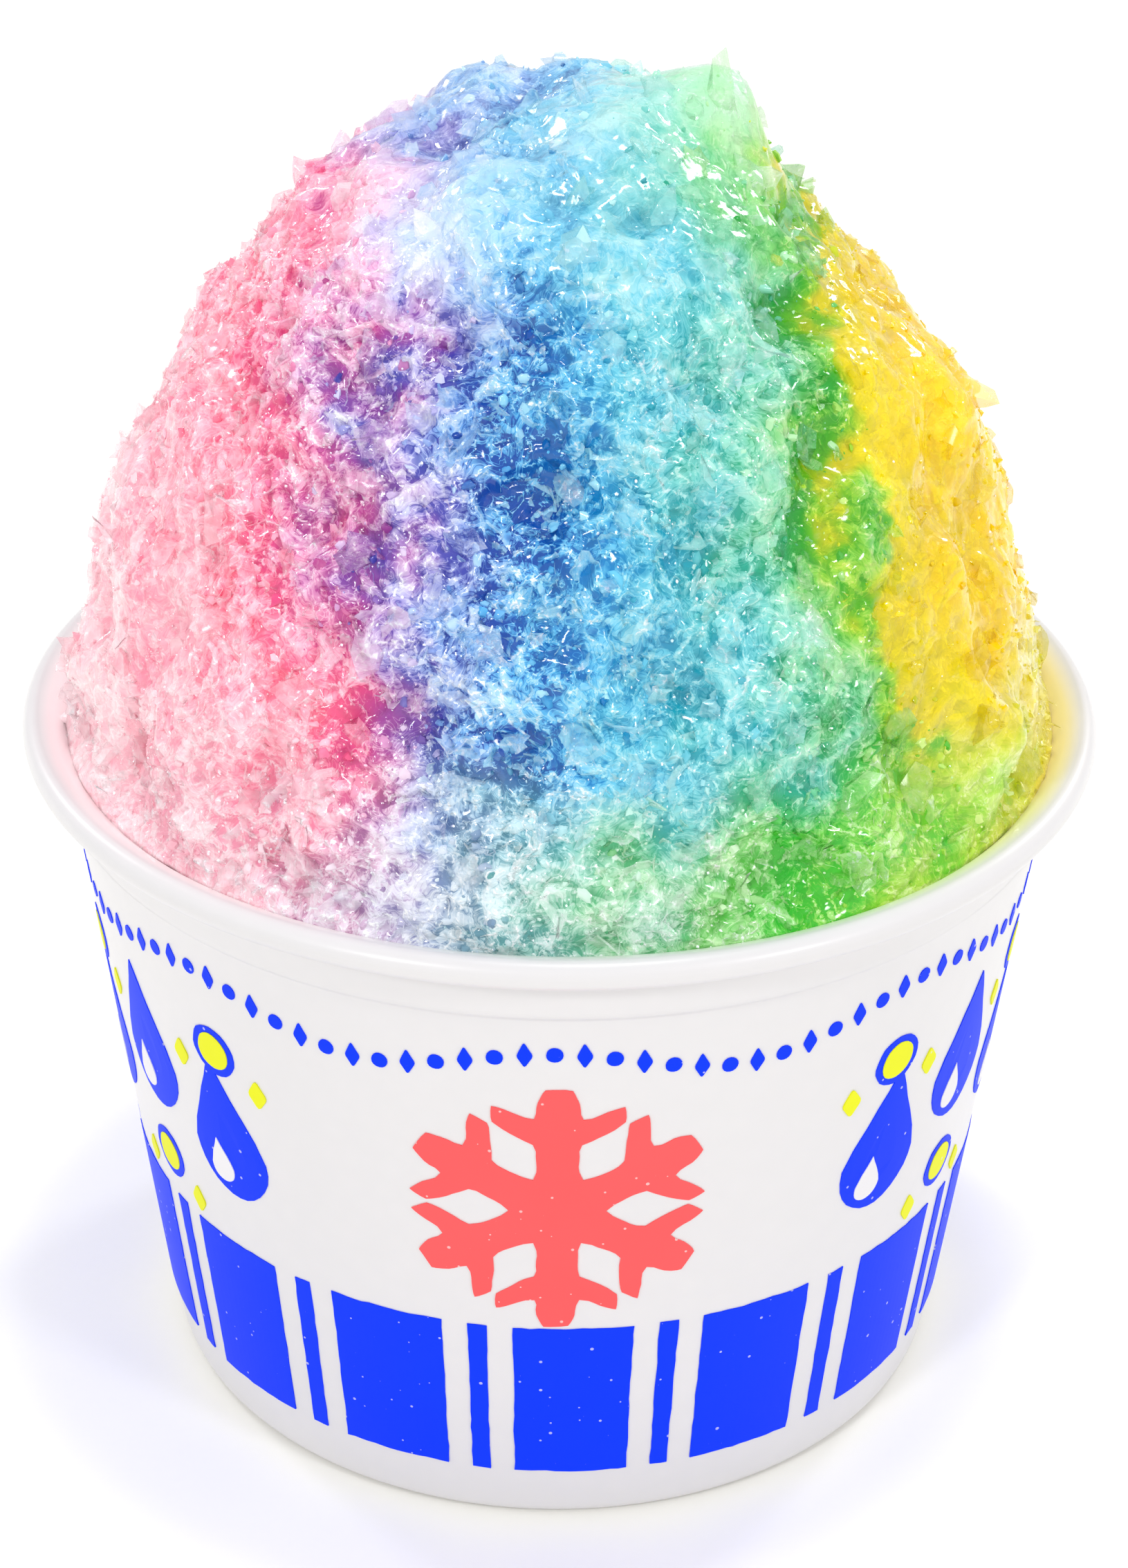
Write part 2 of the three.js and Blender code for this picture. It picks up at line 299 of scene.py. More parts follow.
def ink_material(name, hex_colour):
    """Flexographic ink on foam: flat and satin, with pinholes where the beads took none.

    Real pinholes are finer; they are drawn a millimetre apart, as coarse as they need to show.
    """
    material, tree, shader = new_material(name)
    pinhole_spacing, rubbed_size = 1.0, 11.11
    place = add(tree, "TexCoord", {}, "Object")
    dots = add(tree, "TexVoronoi", {"Vector": place, "Scale": 1000 / pinhole_spacing}, None)
    rare = add(tree, "SeparateColor", {"Color": dots.outputs["Color"]})
    size = add(tree, "MapRange", {"Value": rare, "From Min": 0.7, "From Max": 1.0, "To Min": 0.02,
                                  "To Max": 0.2})
    hole = add(tree, "Math", {0: dots.outputs["Distance"], 1: size}, operation="LESS_THAN")
    rubbed = add(tree, "TexNoise", {"Vector": place, "Scale": 1000 / rubbed_size, "Detail": 3.0})
    ink = linear(hex_colour)
    thin = [min(1, c * 1.12) for c in ink[:3]] + [1]
    half_bare = [0.45 * c + 0.4 for c in ink[:3]] + [1]
    body = add(tree, "Mix", {"Factor": rubbed, 6: ink, 7: thin}, 2, data_type="RGBA")
    colour = add(tree, "Mix", {"Factor": hole, 6: body, 7: half_bare}, 2, data_type="RGBA")
    bump = add(tree, "Bump", {"Strength": 0.3, "Distance": 0.04 * MM, "Height": rubbed})
    fill(shader, {"Base Color": colour, "Normal": bump, "Roughness": 0.45, "Specular IOR Level": 0.08})
    return material


def bled_edge(points):
    """The small wander that ink makes where it bleeds between the beads."""
    wave, reach = 1.7, 0.16
    return np.array([noise.noise_vector(Vector(p) / wave)[:2] for p in points]) * reach


def wrap_on_cup(shape, azimuth, z, lean=0.0, lift=0.0):
    """Lays a flat shape, drawn in millimetres round its own middle, on the cup's wall."""
    points = points_of(shape)
    points[:, :2] += bled_edge(points)
    turned = math.radians(lean)
    across = points[:, 0] * math.cos(turned) - points[:, 1] * math.sin(turned)
    up = z + points[:, 0] * math.sin(turned) + points[:, 1] * math.cos(turned)
    angle = FRONT + math.radians(azimuth) + across / wall_radius(z)
    radius = wall_radius(up) + lift + points[:, 2]
    move_points(shape, np.stack([radius * np.cos(angle), radius * np.sin(angle), up], -1) * MM)


def finish_shape(shape):
    """Gives a flat shape the thickness of ink."""
    if shape.mode == "EDIT":
        bpy.ops.object.mode_set(mode="OBJECT")
    apply_modifier(shape, "SOLIDIFY", thickness=INK * 2, offset=0)
    return shape


def disc(radius, vertices=24):
    shape = start_shape("circle", vertices=vertices, radius=radius, fill_type="NGON")
    edit_all()
    bpy.ops.mesh.inset(thickness=radius * 0.4)
    return finish_shape(shape)


def lozenge(width, height):
    shape = start_shape("circle", vertices=4, radius=1, fill_type="NGON")
    edit_all()
    bpy.ops.transform.resize(value=(width / 2, height / 2, 1))
    bpy.ops.mesh.bevel(offset=width * 0.16, affect="VERTICES", segments=2)
    return finish_shape(shape)


def drop(width, height):
    """A water drop: a disc whose upper half is drawn up to a tip, so many radii above its middle."""
    tip = 1.9
    shape = start_shape("circle", vertices=28, radius=1, fill_type="NGON")
    edit_all()
    for ring in (0.25, 0.3):
        bpy.ops.mesh.inset(thickness=ring)
    bpy.ops.object.mode_set(mode="OBJECT")
    points = points_of(shape)
    rise = np.clip(points[:, 1], 0, 1)
    points[:, 0] *= (1 - rise ** 1.6) ** 0.35 * (1 - 0.55 * rise)
    points[:, 1] = np.where(points[:, 1] > 0, points[:, 1] * tip, points[:, 1])
    points *= (width / 2, height / (1 + tip), 1)
    move_points(shape, points)
    return finish_shape(shape)


def snow_crystal(reach, half_width):
    """Six arms drawn out of a hexagon, each with a pair of side branches."""
    half_turn = math.radians(30)
    apothem = half_width / math.tan(half_turn)
    shape = start_shape("circle", vertices=6, radius=apothem / math.cos(half_turn), fill_type="TRIFAN")
    bpy.ops.object.mode_set(mode="EDIT")
    bpy.ops.mesh.select_mode(type="EDGE")
    rows = [0.2, 0.36, 0.66, 0.84, 1.0]
    length = reach - apothem
    for arm in range(6):
        turn = math.radians(60 * arm)
        out = Vector((math.cos(turn), math.sin(turn), 0))
        side = Vector((-out.y, out.x, 0))
        select_edges(shape, [out * apothem])
        done = 0
        for row in rows:
            step = out * length * (row - done)
            bpy.ops.mesh.extrude_region_move(TRANSFORM_OT_translate={"value": step})
            done = row
        bpy.ops.transform.resize(value=(0.62, 0.62, 1), center_override=out * reach)
        for way in (1, -1):
            edge = out * (apothem + length * 0.51) + side * way * half_width
            branch = (out * 0.5 + side * way * 0.866) * reach * 0.29
            select_edges(shape, [edge])
            for _ in range(2):
                bpy.ops.mesh.extrude_region_move(TRANSFORM_OT_translate={"value": branch / 2})
            bpy.ops.transform.resize(value=(0.75, 0.75, 1), center_override=edge + branch)
    bpy.ops.mesh.select_mode(type="VERT")
    bpy.ops.mesh.select_all(action="SELECT")
    bpy.ops.mesh.subdivide(number_cuts=2)
    bpy.ops.mesh.vertices_smooth(factor=0.5, repeat=2)
    return finish_shape(shape)


def select_edges(shape, middles):
    """Selects the edges of a mesh in edit mode whose middles lie at the given points."""
    bpy.ops.mesh.select_all(action="DESELECT")
    bpy.ops.object.mode_set(mode="OBJECT")
    mesh = shape.data
    for edge in mesh.edges:
        middle = sum((mesh.vertices[i].co for i in edge.vertices), Vector()) / 2
        edge.select = any((middle - wanted).length < 0.05 for wanted in middles)
    bpy.ops.object.mode_set(mode="EDIT")


def join_ink(name, shapes, material):
    """Shapes of one ink become one piece on the cup."""
    deselect_all()
    for shape in shapes:
        shape.select_set(True)
    bpy.context.view_layer.objects.active = shapes[0]
    bpy.ops.object.join()
    piece = shapes[0]
    piece.name = name
    place_piece(piece, material, "cup")


def band_block(azimuth, degrees, low, high, columns):
    """One upright block of the band: its sides follow the cup's taper."""
    block = start_shape("grid", x_subdivisions=columns, y_subdivisions=18, size=1)
    finish_shape(block)
    points = points_of(block)
    angle = azimuth + points[:, 0] * degrees
    z = low + (points[:, 1] + 0.5) * (high - low)
    bleed = bled_edge(np.stack([angle, z, angle * 0], -1))
    angle = FRONT + np.radians(angle + bleed[:, 0])
    z = z + bleed[:, 1]
    radius = wall_radius(z) + points[:, 2]
    move_points(block, np.stack([radius * np.cos(angle), radius * np.sin(angle), z], -1) * MM)
    return block


def make_band(blue):
    """A wide block and a thin bar, over and over round the foot of the wall."""
    repeats, low, high = 15, 7.0, 27.0
    first, block, bar = 2.7, 15.0, 2.4
    unit = 360 / repeats
    blocks = []
    for i in range(repeats):
        blocks.append(band_block(first + i * unit, block, low, high, 14))
        blocks.append(band_block(first + (i + 0.5) * unit, bar, low, high, 3))
    join_ink("print_band", blocks, blue)


def make_crystals(red):
    """A big red snow crystal on the front and on the back."""
    reach, half_width, z, lean = 15.4, 2.5, 42.6, 30
    crystals = []
    for azimuth in (0.5, 180.5):
        crystal = snow_crystal(reach, half_width)
        wrap_on_cup(crystal, azimuth, z, lean)
        crystals.append(crystal)
    join_ink("print_crystals", crystals, red)


def make_bead_string(blue):
    """A string of small dots and lozenges that runs right round the cup in shallow waves."""
    count, waves, z, wave_height = 112, 8, 60.6, 1.5
    beads = []
    for i in range(count):
        azimuth = i * 360 / count
        bead = lozenge(1.7, 3.0) if i % 2 else disc(0.85, 16)
        wrap_on_cup(bead, azimuth, z + wave_height * math.cos(math.radians(azimuth * waves)))
        beads.append(bead)
    join_ink("print_bead_string", beads, blue)


def make_drops(blue, yellow, white):
    """Big blue drops hung at staggered heights, with yellow beads ringed with blue between them."""
    first, spacing, columns, lean = 43, 15.5, 7, 6
    low_drop, high_drop, high_bead, low_bead = 40.0, 45.0, 52.6, 32.6
    over_ink, spark_lift = 0.07, 0.03
    blues, yellows, whites = [], [], []
    for i in range(columns):
        for side in (-1, 1):
            azimuth = side * (first + i * spacing)
            drop_z, bead_z = (high_drop, low_bead) if i % 2 else (low_drop, high_bead)
            body = drop(10.5, 17)
            wrap_on_cup(body, azimuth, drop_z, -side * lean)
            blues.append(body)
            shine = drop(3.4, 5.4)
            wrap_on_cup(shine, azimuth - 1.6, drop_z - 2.6, -side * lean, over_ink)
            whites.append(shine)
            for radius, lift, shapes in ((2.9, 0.0, blues), (2.1, over_ink, yellows)):
                bead = disc(radius)
                wrap_on_cup(bead, azimuth, bead_z, 0, lift)
                shapes.append(bead)
            for step in (-6.6, 6.6):
                spark = lozenge(2.6, 3.6)
                wrap_on_cup(spark, azimuth + step, bead_z - 3.0, 0, spark_lift)
                yellows.append(spark)
    join_ink("print_drops", blues, blue)
    join_ink("print_yellow_beads", yellows, yellow)
    join_ink("print_shines", whites, white)


def make_print():
    blue = ink_material("blue_ink", "#0034F4")
    red = ink_material("red_ink", "#F2585A")
    yellow = ink_material("yellow_ink", "#DCDF20")
    white = ink_material("bare_foam", "#DEDCE0")
    make_band(blue)
    make_crystals(red)
    make_bead_string(blue)
    make_drops(blue, yellow, white)


# ---------------------------------------------------------------- the form of the heap

def draws(seed):
    """The stream of even draws that scatters the clods, from 0 up to 1."""
    state, whole = seed, 0xFFFFFFFF
    while True:
        state = (state + 0x6D2B79F5) & whole
        mixed = ((state ^ state >> 15) * (1 | state)) & whole
        mixed = (mixed + ((mixed ^ mixed >> 7) * (61 | mixed) & whole) & whole) ^ mixed
        yield (mixed ^ mixed >> 14) / 4294967296


def heap_surface(climb, azimuth):
    """Points and outward normals of the smooth heap; climb is 0 at its foot and a quarter turn at its top."""
    angle = FRONT + azimuth
    flat = np.maximum(np.cos(climb), 1e-9)
    steep = np.maximum(np.sin(climb), 1e-9)
    radius = HEAP_RADIUS * flat ** SIDE_POWER
    z = HEAP_Z + HEAP_HEIGHT * steep ** RISE_POWER
    rise = HEAP_RADIUS * SIDE_POWER * flat ** (SIDE_POWER - 1) * steep
    out = HEAP_HEIGHT * RISE_POWER * steep ** (RISE_POWER - 1) * flat
    points = np.stack([radius * np.cos(angle), radius * np.sin(angle), z], -1)
    normals = np.stack([out * np.cos(angle), out * np.sin(angle), rise], -1)
    return points, normals / np.linalg.norm(normals, axis=-1, keepdims=True)


def climb_at(z):
    return np.arcsin(np.minimum(((np.asarray(z, float) - HEAP_Z) / HEAP_HEIGHT) ** (1 / RISE_POWER), 1))


def place_lumps():
    """Every clod, hollow, swell and crevice: its place, its width and how far it stands out."""
    stream, lumps = draws(2024), []
    between = lambda low, high: low + (high - low) * next(stream)
    foot_clear, top_clear = 3, 0.4
    low, high = HEAP_Z + foot_clear, HEAP_Z + HEAP_HEIGHT - top_clear
    for kind in (CLODS, HOLLOWS):
        for i in range(kind["count"]):
            share = min((i + 0.2 + 0.6 * next(stream)) / kind["count"], 1)
            z = low + (high - low) * share ** 0.92
            point, _ = heap_surface(climb_at(z), i * GOLDEN_ANGLE + 0.5 * next(stream))
            lumps.append((*point, between(*kind["width"]), between(*kind["height"])))
    for azimuth, z, width, out in SWELLS + [(a, z, w, -depth) for a, z, w, depth in CREVICES]:
        point, _ = heap_surface(climb_at(z), math.radians(azimuth))
        lumps.append((*point, width, out))
    return lumps


LUMPS = place_lumps()


def lump_relief(points):
    """How far the clods and hollows stand out of the smooth heap."""
    too_far = 8
    height = np.full(len(points), -SETTLING)
    for x, y, z, width, out in LUMPS:
        away = ((points - (x, y, z)) ** 2).sum(-1) / (2 * width * width)
        height += np.where(away < too_far, out * np.exp(-away), 0)
    return height


def swirl(points, size, amount, seed):
    """A smooth chance push of each point, for patterns that look stirred."""
    shift = Vector((seed * 5.1, seed * 9.7, seed * 2.3))
    return np.array([noise.noise_vector(Vector(p) / size + shift) for p in points]) * amount


def folds(points, size, seed):
    """Winding ridges about a size apart: 1 on a crest, 0 between."""
    shift = Vector((seed * 3.7, seed * 8.3, seed * 5.9))
    sharpness = 2.6
    values = np.array([noise.noise(Vector(p) / size + shift) for p in points])
    return 1 - np.minimum(np.abs(values) * sharpness, 1)


def cell_borders(points, size, seed):
    """0 at a border between cells, rising to 1 inside them."""
    border = 0.5
    shift = Vector((seed * 13.7, seed * 7.3, seed * 3.1))
    gaps = []
    for p in points:
        near, _ = noise.voronoi(Vector(p) / size + shift)
        gaps.append(near[1] - near[0])
    return np.minimum(np.array(gaps), border) / border


def rounds(points, size, seed):
    """Soft rounded lumps about a size across: 0 at the middle of each, falling to about -1 between them."""
    shift = Vector((seed * 11.3, seed * 4.9, seed * 6.7))
    return np.array([-noise.voronoi(Vector(p) / size + shift)[0][0] ** 2 for p in points])


def core_relief(points):
    """How rough the inner skin is, from wide, middle and fine folds, and how soaked: most where it is low, as
    pooled syrup and as painted shade.
    """
    stirred = points + swirl(points, 6.0, 3.0, 1) + swirl(points, 2.0, 0.9, 2)
    wide, middle, fine = folds(stirred, 9.0, 1), folds(stirred, 4.2, 2), folds(stirred, 1.9, 5)
    pits = cell_borders(stirred, 2.4, 2)
    rough = -0.4 + 0.8 * wide ** 2 + 0.5 * middle ** 2 - 0.35 * pits + 0.2 * fine ** 2
    # painted shade: the colour is deeper where the skin is low
    return rough, 0.66 - 0.45 * rough


def crust_relief(points):
    """The outer skin's ragged folds, paler along their crests, as drained syrup and as painted light."""
    stirred = points + swirl(points, 8.0, 5.0, 7) + swirl(points, 2.6, 1.4, 8)
    wide, middle, fine = folds(stirred, 7.0, 11), folds(stirred, 3.3, 12), folds(stirred, 1.7, 13)
    rough = -0.9 + 0.9 * wide ** 3 + 0.7 * middle ** 3 + 0.3 * fine ** 3
    crest = 0.5 * wide ** 5 + 0.4 * middle ** 4 + 0.25 * fine ** 3
    return rough, 0.45 - 0.35 * crest


def make_heap_shell(name, relief, foot_gap):
    """A fine closed skin over the whole heap, shaped by the clods and by its own small relief."""
    piece = start_shape("ico_sphere", subdivisions=5, radius=1)
    piece.name = name
    edit_all()
    bpy.ops.mesh.subdivide(number_cuts=5)
    bpy.ops.object.mode_set(mode="OBJECT")
    ball = points_of(piece)
    ball /= np.linalg.norm(ball, axis=1, keepdims=True)
    polar = np.arccos(np.clip(ball[:, 2], -1, 1))
    azimuth = np.arctan2(ball[:, 1], ball[:, 0]) - FRONT
    foot = math.radians(152)
    above = polar <= foot
    smooth, normals = heap_surface(np.where(above, math.pi / 2 * (1 - polar / foot), 0), azimuth)
    wet = syrup_at(smooth, np.zeros(len(smooth)))
    lively = liveliness(smooth, wet)
    rise, soak_and_shade_by_form = skin_relief(smooth, relief, lively)
    shaped = smooth + normals * rise[:, None]
    under = np.clip((math.pi - polar) / (math.pi - foot), 0, 1)
    radius = np.where(above, np.hypot(shaped[:, 0], shaped[:, 1]), PLUG_RADIUS * under)
    z = np.where(above, shaped[:, 2], PLUG_Z + (PLUG_TOP - PLUG_Z) * under)
    turn = np.where(above, np.arctan2(shaped[:, 1], shaped[:, 0]), FRONT + azimuth)
    radius = settle_in_lip(radius, z, above, foot_gap)
    move_points(piece, np.stack([radius * np.cos(turn), radius * np.sin(turn), z], -1) * MM)
    wet[:, 1] += soak_and_shade_by_form
    store_syrup(piece.data, wet, lively)
    piece.data.shade_smooth()
    return piece


def skin_relief(smooth, relief, lively):
    """How far the skin stands out, ragged where lively and in soft rounds where calm, and its soak: paler on
    clods and round tops, deeper between, as syrup and as painted light and shade.
    """
    rim_band, rim_share, round_size = 8, 0.4, 5.5
    near_rim = np.clip((smooth[:, 2] - HEAP_Z) / rim_band, rim_share, 1)
    lumps = (lump_relief(smooth) + SETTLING) * near_rim - SETTLING
    rough, soak = relief(smooth)
    ragged = np.minimum(lively, 1.1) ** 1.5
    calm = np.maximum(1 - lively, 0) * (0.35 + 1.6 * rounds(smooth, round_size, 4))
    # painted light and shade: paler where the skin stands out, deeper between
    wet = np.clip(0.5 + lively * (soak - 0.5) - 0.10 * lumps - 0.3 * calm, 0, 1)
    return lumps + ragged * rough + calm, wet


def settle_in_lip(radius, z, above, foot_gap):
    """Keeps the ice within the flared lip, and rounds the heap's foot out to meet the wall."""
    fillet_top, fillet_height = 75.2, 2.6
    room = np.interp(z, LIP_ROOM_Z, LIP_ROOM_R) - foot_gap
    settled = np.clip((fillet_top - z) / fillet_height, 0, 1) ** 2
    return np.minimum(np.where(above, radius + settled * (room - radius), radius), room)


# ---------------------------------------------------------------- loose pieces of ice

# Shavings, one long: their width, then how much they bend, dish and twist.
CURLS = [(0.42, 1.6, 0.5, 0.5), (0.5, 2.4, -0.4, 0.8), (0.4, 3.2, 0.9, -0.6), (0.6, 2.0, 0.8, 0.3),
         (0.34, 2.8, -0.6, 1.2)]
SHREDS = [(0.5, 1.0, 0.8, 0.5), (0.7, 1.8, -0.5, 0.8), (0.6, 2.4, 1.2, -0.6), (0.8, 1.4, 1.0, 0.3),
          (0.45, 2.2, -0.8, 1.2), (0.65, 0.7, 0.9, -0.9), (0.9, 1.9, 1.3, 0.4)]
SLIVERS = [(0.6, 1.2, 0.8, 0.4), (0.8, 2.0, -0.6, 0.7), (0.5, 1.6, 1.0, -0.8), (0.9, 1.0, 1.2, 0.3),
           (0.7, 2.6, 0.7, -0.4)]


def read_shape(shape, thin):
    """A small shape's vertices, face corners, face sizes and edge thinness, and removes it."""
    mesh = shape.data
    corners = np.empty(len(mesh.loops), np.int32)
    mesh.loops.foreach_get("vertex_index", corners)
    sizes = np.empty(len(mesh.polygons), np.int32)
    mesh.polygons.foreach_get("loop_total", sizes)
    points = points_of(shape)
    bpy.data.objects.remove(shape)
    return points, corners, sizes, thin


def shaving(cells, wide, bend, trough, twist, thick, seed):
    """A torn strip of ice, grooved lengthways, bent along its length, dished and twisted."""
    torn_edge, wavy, uneven, grooved, rough_along, rough_up = 0.24, 0.12, 0.1, 0.1, 0.015, 0.012
    rng = np.random.RandomState(seed)
    shape = start_shape("grid", x_subdivisions=cells[0], y_subdivisions=cells[1], size=1)
    flat = points_of(shape) * 2
    column = np.round((flat[:, 0] + 1) / 2 * cells[0]).astype(int)
    row = np.round((flat[:, 1] + 1) / 2 * cells[1]).astype(int)
    torn = 1 + rng.normal(0, torn_edge, (cells[0] + 1, 2))
    tear = np.where(flat[:, 1] > 0, torn[column, 0], torn[column, 1])
    width = wide * (1 - 0.75 * np.abs(flat[:, 0]) ** 2.5) * tear
    across = flat[:, 1] * width / 2 + rng.normal(0, wavy, cells[0] + 1)[column] * wide
    along = flat[:, 0] / 2 * (1 + rng.normal(0, uneven, cells[1] + 1)[row])
    along = along + rng.normal(0, rough_along, len(flat))
    groove = rng.normal(0, 1, cells[1] + 1)[row]
    lift = groove * wide * grooved + trough * across ** 2 / wide + rng.normal(0, rough_up, len(flat))
    turn = along * bend
    x = (1 / bend - lift) * np.sin(turn)
    z = 1 / bend - (1 / bend - lift) * np.cos(turn)
    z -= z.mean()
    roll = twist * along
    y = across * np.cos(roll) - z * np.sin(roll)
    z = across * np.sin(roll) + z * np.cos(roll)
    move_points(shape, np.stack([x, y, z], -1))
    apply_modifier(shape, "SOLIDIFY", thickness=thick, offset=0)
    edge = np.maximum(np.abs(flat[:, 1]), flat[:, 0] ** 2) ** 2
    thin = np.clip(edge * 0.75 + 0.35 * np.clip(groove, -1, 1), 0, 1)
    return read_shape(shape, np.resize(thin, len(shape.data.vertices)))


def pebble(segments, rings, squash, jitter, seed):
    """A grain of crushed ice: a small ball, flattened and knocked about."""
    rng = np.random.RandomState(seed)
    shape = start_shape("uv_sphere", segments=segments, ring_count=rings, radius=0.5)
    points = points_of(shape)
    points *= 1 + rng.normal(0, jitter, (len(points), 1))
    points *= squash
    move_points(shape, points)
    return read_shape(shape, np.clip(points[:, 2] + 0.3, 0, 1))


def splinter(jitter, seed):
    """The smallest crumb, with flat faces that glint."""
    rng = np.random.RandomState(seed)
    shape = start_shape("ico_sphere", subdivisions=1, radius=0.5)
    points = points_of(shape)
    points *= (1 + rng.normal(0, jitter, (len(points), 1))) * (1, 0.8, 0.65)
    move_points(shape, points)
    return read_shape(shape, np.zeros(len(points)))


def wisp(seed):
    """A thread of ice: a thin three-sided rod, bent and tapered to both ends."""
    rng = np.random.RandomState(seed)
    segments, thick = 6, 0.014
    shape = start_shape("circle", vertices=3, radius=1, fill_type="NGON", rotation=(0, math.pi / 2, 0))
    bpy.ops.object.transform_apply(location=False, rotation=True, scale=False)
    edit_all()
    for _ in range(segments):
        bpy.ops.mesh.extrude_region_move(TRANSFORM_OT_translate={"value": (1, 0, 0)})
    bpy.ops.mesh.select_all(action="SELECT")
    bpy.ops.mesh.normals_make_consistent(inside=False)
    bpy.ops.object.mode_set(mode="OBJECT")
    points = points_of(shape)
    ring = np.round(points[:, 0]).astype(int)
    along = ring / segments - 0.5
    taper = thick * (1.05 - np.abs(along) * 1.9)
    bend, lean = rng.uniform(0.4, 2.2), rng.uniform(-0.4, 0.4)
    wander = rng.normal(0, 0.03, (segments + 1, 2))
    path = np.stack([np.sin(along * bend) / bend, (1 - np.cos(along * bend)) / bend + wander[ring, 0],
                     lean * along ** 2 + wander[ring, 1]], -1)
    rod = np.stack([np.zeros(len(points)), points[:, 1], points[:, 2]], -1) * taper[:, None]
    move_points(shape, path + rod)
    return read_shape(shape, np.ones(len(points)))


def resting_places(count, seed, tree):
    """Places spread evenly over the heap's skin, with the way that each one faces."""
    rng = np.random.RandomState(seed)
    foot_clear, top_clear, outside = 3.5, 0.3, 12
    low, high = HEAP_Z + foot_clear, HEAP_Z + HEAP_HEIGHT - top_clear
    levels = np.linspace(low, high, 400)
    radii = HEAP_RADIUS * np.cos(climb_at(levels)) ** SIDE_POWER
    area = np.cumsum(radii * np.hypot(np.gradient(radii), np.gradient(levels)))
    z = np.interp((np.arange(count) + rng.rand(count)) / count, area / area[-1], levels)
    azimuth = np.arange(count) * GOLDEN_ANGLE + rng.normal(0, 0.12, count)
    points, normals = heap_surface(climb_at(z), azimuth)
    places, facings = [], []
    for point, normal in zip(points, normals):
        hit, face, _, _ = tree.ray_cast(Vector((point + normal * outside) * MM), Vector(-normal), 30 * MM)
        if hit is None or hit.z < (low - 1) * MM:
            continue
        places.append(np.array(hit) / MM)
        facings.append(np.array((face * 0.5 + Vector(normal) * 0.6).normalized()))
    return np.array(places), np.array(facings)


def leaned(up, side, turn):
    """Leans an upward axis over to one side by a turn, and the side with it."""
    return up * np.cos(turn) + side * np.sin(turn), side * np.cos(turn) - up * np.sin(turn)


def lean_frames(facings, places, lean, comb, rng):
    """Three axes for each piece: most lie along a slow swirl, and all lean by chance."""
    swirl_size, shift = 22, Vector((3, 7, 1))
    grain = np.array([noise.noise_vector(Vector(p) / swirl_size + shift) for p in places])
    along = grain + rng.normal(0, comb, grain.shape)
    along -= (along * facings).sum(1, keepdims=True) * facings
    along /= np.linalg.norm(along, axis=1, keepdims=True)
    across = np.cross(facings, along)
    up, along = leaned(facings, along, rng.normal(0, lean, len(places))[:, None])
    up, across = leaned(up, across, rng.normal(0, lean, len(places))[:, None])
    return along, across, up


def scatter(name, shapes, count, size, material, tree, seed, lean=0.5, lift=0.0, comb=0.15,
            soak=(0.0, 1.0), rim=0.0, smooth_angle=40, shy=0, above=0, stray=1.2):
    """Copies a few shapes over the heap as one mesh, each copy turned, sized and soaked by chance.

    Shy pieces keep off the calm ice, and stray ones may carry the syrup of a stripe nearby.
    """
    places, facings = resting_places(count, seed, tree)
    rng = np.random.RandomState(seed + 1)
    room = liveliness(places, syrup_at(places, 0)) ** shy
    keep = (rng.rand(len(places)) < room) & (places[:, 2] > above)
    places, facings = places[keep], facings[keep]
    sizes = size[0] + (size[1] - size[0]) * rng.rand(len(places)) ** 1.5
    axes = lean_frames(facings, places, lean, comb, rng)
    pick = rng.randint(0, len(shapes), len(places))
    syrup = syrup_at(places, rng.uniform(*soak, len(places)), rng.normal(0, stray, len(places)))
    lively = liveliness(places, syrup)
    joined, used = [], 0
    for kind, (points, corners, face_sizes, thin) in enumerate(shapes):
        mine = np.where(pick == kind)[0]
        stretch = (sizes[mine][:, None] * rng.uniform(0.8, 1.2, (len(mine), 3)))[:, None, :]
        local = points[None] * stretch
        world = (places[mine] + facings[mine] * (lift * sizes[mine])[:, None])[:, None]
        for i, axis in enumerate(axes):
            world = world + local[..., i:i + 1] * axis[mine][:, None]
        starts = used + np.arange(len(mine)) * len(points)
        used += len(points) * len(mine)
        wet = np.repeat(syrup[mine][:, None], len(points), 1)
        wet[..., 1] -= rim * thin[None]
        joined.append((world.reshape(-1, 3), (corners[None] + starts[:, None]).ravel(),
                       np.tile(face_sizes, len(mine)), wet.reshape(-1, 3),
                       np.repeat(lively[mine], len(points))))
    points, corners, face_sizes, wet, lively = (np.concatenate(part) for part in zip(*joined))
    piece = mesh_from_arrays(name, points, corners, face_sizes)
    store_syrup(piece.data, wet, lively)
    piece.data.shade_smooth()
    piece.data.set_sharp_from_angle(angle=math.radians(smooth_angle))
    place_piece(piece, material, "shaved_ice")
    # light goes through such small clear pieces
    piece.visible_shadow = False


def mesh_from_arrays(name, points, corners, sizes):
    mesh = bpy.data.meshes.new(name)
    mesh.vertices.add(len(points))
    mesh.vertices.foreach_set("co", (points * MM).ravel())
    mesh.loops.add(len(corners))
    mesh.loops.foreach_set("vertex_index", corners.astype(np.int32))
    mesh.polygons.add(len(sizes))
    mesh.polygons.foreach_set("loop_start", np.concatenate([[0], np.cumsum(sizes)[:-1]]).astype(np.int32))
    mesh.update(calc_edges=True)
    mesh.validate()
    piece = bpy.data.objects.new(name, mesh)
    bpy.context.scene.collection.objects.link(piece)
    return piece


# ---------------------------------------------------------------- ice and syrup

